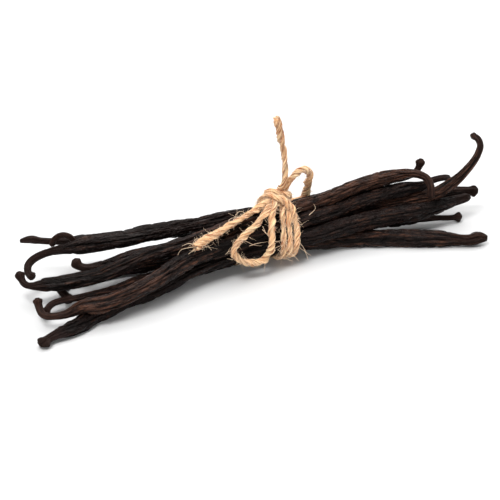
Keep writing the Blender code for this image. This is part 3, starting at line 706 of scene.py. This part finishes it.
def twine_body(line, seed):
    """The twine's mesh: columns of vertices follow the plies round and along it"""
    random = np.random.default_rng(seed)
    run = run_of(line)
    way, side, up = carried_frame(line)
    column = np.linspace(0, 2 * math.pi, TWINE_SIDES, endpoint=False)
    half = math.pi / PLIES
    from_ply = (column + half) % (2 * half) - half
    across = np.sqrt(PLY_RADIUS**2 - (PLY_OFFSET * np.sin(from_ply)) ** 2)
    section = PLY_OFFSET * np.cos(from_ply) + across
    shape = (TWINE_RINGS, TWINE_SIDES)
    step = (run[1], column[1] * TWINE / 2)
    slub = 1 + SLUB * hills(random, shape, step, SLUB_REACH)
    fibres = FIBRE * hills(random, shape, step, FIBRE_REACH)
    fibres = fibres + FIBRE * hills(random, shape, step, LOCK_REACH)
    reach = section / (TWINE / 2) * twine_radius(run)[:, None] * slub + fibres
    twist = run[:, None] + UNEVEN_TWIST * hills(random, shape, step, TWIST_REACH)
    angle = (column + twist * 2 * math.pi / PLY_PITCH)[..., None]
    line = line - home
    out = side[:, None] * np.cos(angle) + up[:, None] * np.sin(angle)
    places = line[:, None] + out * reach[..., None]
    ragged = RAGGED * random.random(TWINE_SIDES)[None, :, None]
    for end, sign in ((0, -1), (-1, 1)):
        fray = ease(1 - np.abs(run - run[end]) / FRAYED)[:, None, None]
        places += way[:, None] * sign * ragged * fray
    around = np.broadcast_to(column, shape)
    fibre = np.stack([
        np.broadcast_to(run[:, None], shape), np.cos(around) * TWINE / 2, np.sin(around) * TWINE / 2
    ], axis=2)
    # Painted shade: the colour is darker down in the grooves between the plies and where fibres lie low;
    # the stains, which the twine really has, are added to the same mask
    groove = np.broadcast_to((1 - (section - section.min()) / np.ptp(section)), shape)
    stains = hills(random, shape, step, STAIN_REACH).clip(0.0, STAIN_MOST)
    stained = np.interp(run, *zip(*STAINS))[:, None] * stains
    groove = np.clip(groove - fibres / FIBRE * FIBRE_SHADE + stained, 0, 1)
    ends = ((2, 2), (0, 0))
    before = [line[0] + (places[0] - line[0]) * share for share in (0.0, 0.5)]
    after = [line[-1] + (places[-1] - line[-1]) * share for share in (0.5, 0.0)]
    places = np.concatenate([before, places, after])
    fibre = np.pad(fibre, ends + ((0, 0),), "edge")
    return rolled_sheet("twine_body", places, fibre=fibre, groove=np.pad(groove, ends, "edge"))


def jute(name, pale):
    """Jute: straw-coloured, matt bast fibres, darker brown where stained, and with shade painted darker
    brown into the grooves between plies and onto low fibres; pale is how near white it is
    """
    material, shader = new_material(name)
    fibre = add_node(material, "ShaderNodeAttribute", {"attribute_name": "fibre"}).outputs["Vector"]
    groove = add_node(material, "ShaderNodeAttribute", {"attribute_name": "groove"}).outputs["Fac"]
    # Fibres 4.5 mm long and half a millimetre apart, where real ones are 0.15 mm apart and wouldn't
    # show, and stretches about 8 mm long that are yellower or redder
    place = add_node(material, "ShaderNodeMapping", Vector=fibre, Scale=(0.22, 2.0, 2.0))
    strands = add_node(
        material, "ShaderNodeTexNoise",
        Vector=place.outputs[0], Scale=1.0, Detail=4.0, Roughness=0.65,
    )
    stretch_place = add_node(material, "ShaderNodeMapping", Vector=fibre, Scale=(0.12, 0.4, 0.4))
    stretch = add_node(
        material, "ShaderNodeTexNoise", Vector=stretch_place.outputs[0], Scale=1.0, Detail=2.0,
    )
    straw = add_node(material, "ShaderNodeValToRGB", Fac=strands.outputs["Fac"])
    straw.color_ramp.elements[0].position = 0.38
    straw.color_ramp.elements[0].color = linear("#9c4814")
    straw.color_ramp.elements[1].position = 0.52
    straw.color_ramp.elements[1].color = linear("#ffdcac")
    warm = add_node(
        material, "ShaderNodeMapRange", Value=stretch.outputs["Fac"], _1=0.4, _2=0.7, _4=0.5,
    )
    toned = add_node(
        material, "ShaderNodeMix", {"data_type": "RGBA"},
        _0=warm.outputs[0], _6=straw.outputs["Color"], _7=linear("#ffb878"),
    )
    # Painted shade in the grooves and on low fibres, together with the real stains, darkens the colour
    # towards a deep brown
    deep = add_node(material, "ShaderNodeMath", {"operation": "MULTIPLY"}, _0=groove, _1=0.5)
    sunk = add_node(
        material, "ShaderNodeMix", {"data_type": "RGBA"},
        _0=deep.outputs[0], _6=toned.outputs[2], _7=linear("#7e360e"),
    )
    final = add_node(
        material, "ShaderNodeMix", {"data_type": "RGBA"},
        _0=pale, _6=sunk.outputs[2], _7=linear("#fff0dc"),
    )
    bump = add_node(
        material, "ShaderNodeBump", Height=strands.outputs["Fac"], Strength=0.9, Distance=0.0011,
    )
    material.node_tree.links.new(final.outputs[2], shader.inputs["Base Color"])
    material.node_tree.links.new(bump.outputs[0], shader.inputs["Normal"])
    shader.inputs["Roughness"].default_value = 0.85
    shader.inputs["Specular IOR Level"].default_value = 0.25
    shader.inputs["Sheen Weight"].default_value = 0.3
    shader.inputs["Sheen Roughness"].default_value = 0.5
    return material


ring_line = evenly(twine_line, TWINE_RINGS)
twine = twine_body(ring_line, TWINE_SEED)
twine.data.materials.append(jute("jute_twine", 0.0))
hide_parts("twine")
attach(twine, "root")


# ---- Twine: its stray fibres --------------------------------------------------------------------
# Jute is hairy: ends of fibres a few millimetres long stand off it everywhere, thickest where it is
# bent or frayed, and some long ones have come loose and curl over the pods.
HAIRS = 3600
HAIR_SEED = 5
HAIR_POINTS = 6
HAIR_RADIUS = 0.05
HAIR_LEAST = 0.6  # length of the shortest hairs
HAIR_SPREAD = (2.0, 0.7)  # shape and scale of how the lengths past that are spread
HAIR_SLANT = (0.05, 0.75)  # radians between a hair's root and the twine
ROOTED = 0.75  # how far out from the twine's middle a hair starts, as a share of its radius
SIDEWAYS = 0.35  # how much a hair curls at each of its points, always the same way
WAVER = 0.1  # and how much at random
TAPER = 0.35  # what is left of a fibre's radius at its end
WISP_RADIUS = 0.1  # a few fibres that have stayed together
WISP_POINTS = 16

# Where the twine is hairiest: distances along it, and how thick the hair is there
HAIRINESS = (
    (0, 4.0), (10, 2.2), (30, 1.0), (36, 2.6), (46, 2.0), (52, 0.8), (72, 1.8), (82, 1.8), (90, 0.7),
    (112, 1.8), (150, 1.2), (230, 1.2), (262, 2.4), (330, 2.4), (348, 3.2), (360, 2.0), (366, 1.0),
    (380, 1.8), (400, 1.8), (412, 0.6), (450, 1.2),
)

# Long loose fibres, each through a few points
WISPS = [
    [(-17.3, -5.1, 20.9), (-15.6, -2, 20.6), (-12.9, -1.6, 20.6), (-12.2, -3.9, 21.6)],
    [(-11.6, 1.9, 19.4), (-9.6, 2.6, 20), (-8.4, 1.9, 19.8), (-8.8, 0.2, 19.6)],
    [(-19.2, -4, 19.2), (-17.7, -5.5, 20.6), (-15.6, -6.8, 21.4)],
    [(-13.8, -10.7, 15.9), (-9.8, -10.6, 13), (-6.5, -10, 11.4)],
    [(-12, -10.9, 13.3), (-9.1, -10.8, 13.5), (-4.6, -11.2, 13.4)],
    [(-5.6, -8.6, 18.8), (-5.2, -10, 17), (-3.9, -11, 14.6)],
    [(-6, -9.2, 17.8), (-4.9, -10.4, 16.4), (-3.4, -11, 15.8)],
    [(8, -10.9, 10.2), (9.6, -12.3, 7.2), (10.2, -14.4, 3.6)],
    [(7.4, -10.9, 8.2), (9.8, -12, 6.2), (11.8, -13.6, 4.6)],
    [(-0.9, -10.4, 5.3), (2.2, -11.9, 4.8), (4.4, -13.2, 4)],
    [(1.8, -11.4, 4.4), (5, -12.8, 6), (6.6, -12.6, 7.9)],
    [(3.6, -12.4, 7.8), (5, -13, 6), (6.4, -14.4, 4.2)],
    [(1.4, -3, 20.8), (2.8, -4.2, 19.8), (4.6, -4.6, 19.2)],
    [(-2.6, -10.4, 12.6), (-0.2, -11, 12.4), (2.2, -10.6, 12.6)],
    [(-3, -12, 10), (-1.2, -11.8, 10.6), (1.4, -11.8, 11)],
    [(14.2, -6.4, 17.4), (16, -6, 18.2), (17.8, -4.6, 18.6), (17.6, -3.6, 19.8)],
    [(-32.6, -10.2, 17.8), (-35, -9.2, 17.4), (-37.4, -8, 16.4), (-38.6, -7.8, 14.2), (-39.4, -8.6, 12.6)],
    [(-32.4, -10.6, 17.2), (-34.4, -10.4, 16.2), (-36.2, -10, 14.8), (-37.6, -9.6, 14)],
    [(-32.6, -9.8, 18.4), (-34.4, -8.4, 18.6), (-36.8, -7.4, 17.6)],
    [(-18.6, -12.4, 13.6), (-20.4, -12.2, 14), (-21.9, -12, 12.8)],
    [(-17.8, -13, 11), (-19.8, -12.6, 10.6), (-21.2, -12, 11)],
    [(14.4, 1.4, 30.6), (12.6, 0.2, 29), (12, -0.6, 26.6)],
    [(16.4, 1.8, 30.4), (15.8, 1.2, 28.8), (16.2, 0.8, 27.6)],
]


def stray_fibres(name, lines, radius):
    """A mesh of thin closed fibres that taper to their ends"""
    bpy.ops.object.select_all(action="DESELECT")
    bpy.ops.curve.primitive_bezier_curve_add()
    fibres = bpy.context.active_object
    fibres.name = name
    fibres.data.splines.clear()
    for line in lines:
        spline = fibres.data.splines.new("POLY")
        spline.points.add(len(line) - 1)
        places = np.column_stack([(line - home) * MM, np.ones(len(line))])
        spline.points.foreach_set("co", places.ravel())
        spline.points.foreach_set("radius", np.linspace(1.0, TAPER, len(line)) * radius / HAIR_RADIUS)
    fibres.data.dimensions = "3D"
    fibres.data.bevel_depth = HAIR_RADIUS * MM
    fibres.data.bevel_resolution = 0
    fibres.data.use_fill_caps = True
    bpy.ops.object.convert(target="MESH")
    bpy.ops.object.mode_set(mode="EDIT")
    bpy.ops.mesh.select_all(action="SELECT")
    bpy.ops.mesh.remove_doubles(threshold=0.0000001)
    bpy.ops.mesh.normals_make_consistent(inside=False)
    bpy.ops.object.mode_set(mode="OBJECT")
    return fibres


def unit(vectors):
    """The same directions, one long"""
    return vectors / np.linalg.norm(vectors, axis=-1, keepdims=True)


def short_hairs(line, seed):
    """Fibre ends that leave the twine at a slant and curl at random"""
    random = np.random.default_rng(seed)
    run = run_of(line)
    way, side, up = carried_frame(line)
    share = np.interp(run, *zip(*HAIRINESS))
    root = random.choice(len(line), HAIRS, p=share / share.sum())
    angle = random.uniform(0, 2 * math.pi, (HAIRS, 1))
    out = side[root] * np.cos(angle) + up[root] * np.sin(angle)
    slant = random.uniform(*HAIR_SLANT, (HAIRS, 1))
    along = way[root] * random.choice((-1, 1), (HAIRS, 1))
    heading = unit(along * np.cos(slant) + out * np.sin(slant))
    length = HAIR_LEAST + random.gamma(*HAIR_SPREAD, (HAIRS, 1))
    place = line[root] + out * twine_radius(run[root])[:, None] * ROOTED
    hairs = [place]
    curl = random.standard_normal((HAIRS, 3)) * SIDEWAYS
    for _ in range(HAIR_POINTS - 1):
        place = place + heading * length / (HAIR_POINTS - 1)
        place[:, 2] = place[:, 2].clip(FLOOR_GAP)
        heading = unit(heading + curl + random.standard_normal((HAIRS, 3)) * WAVER)
        hairs.append(place)
    return np.stack(hairs, axis=1)


jute_hair = jute("jute_fibre", 0.4)
hairs = short_hairs(ring_line, HAIR_SEED)
fuzz = stray_fibres("twine_fuzz", hairs, HAIR_RADIUS)
long_hairs = [smooth_line(points, WISP_POINTS) for points in WISPS]
wisps = stray_fibres("twine_wisps", long_hairs, WISP_RADIUS)
for fibres in (fuzz, wisps):
    fibres.data.materials.append(jute_hair)
    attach(fibres, "root")


# ---- Stage and light ----------------------------------------------------------------------------
# A plain white table and three soft lamps: a wide one high behind the bundle, a small one above its
# front left, and a dim one lower down in front.
bpy.ops.object.select_all(action="DESELECT")
bpy.ops.mesh.primitive_plane_add(size=4.0, location=(0, 0, 0))
table = bpy.context.active_object
table.name = "table"
paper, paper_shader = new_material("white_paper")
paper_shader.inputs["Base Color"].default_value = linear("#cccccc")
paper_shader.inputs["Roughness"].default_value = 0.9
table.data.materials.append(paper)


def soft_lamp(name, place, size, power):
    """A square lamp that faces the bundle"""
    bpy.ops.object.light_add(type="AREA", location=place)
    lamp = bpy.context.active_object
    lamp.name = name
    lamp.data.shape = "SQUARE"
    lamp.data.size = size
    lamp.data.energy = power
    lamp.rotation_euler = Vector(place).to_track_quat("Z", "Y").to_euler()


soft_lamp("lamp_behind", (0.4, 0.4, 1.0), 1.8, 28.0)
soft_lamp("lamp_above", (-0.4, -0.25, 0.95), 0.35, 8.5)
soft_lamp("lamp_front", (-0.5, -0.9, 0.5), 0.4, 2.5)
world = bpy.data.worlds.new("studio")
bpy.context.scene.world = world
world.use_nodes = True
world.node_tree.nodes["Background"].inputs["Color"].default_value = linear("#ffffff")
world.node_tree.nodes["Background"].inputs["Strength"].default_value = 0.26
bpy.context.scene.view_settings.view_transform = "Standard"
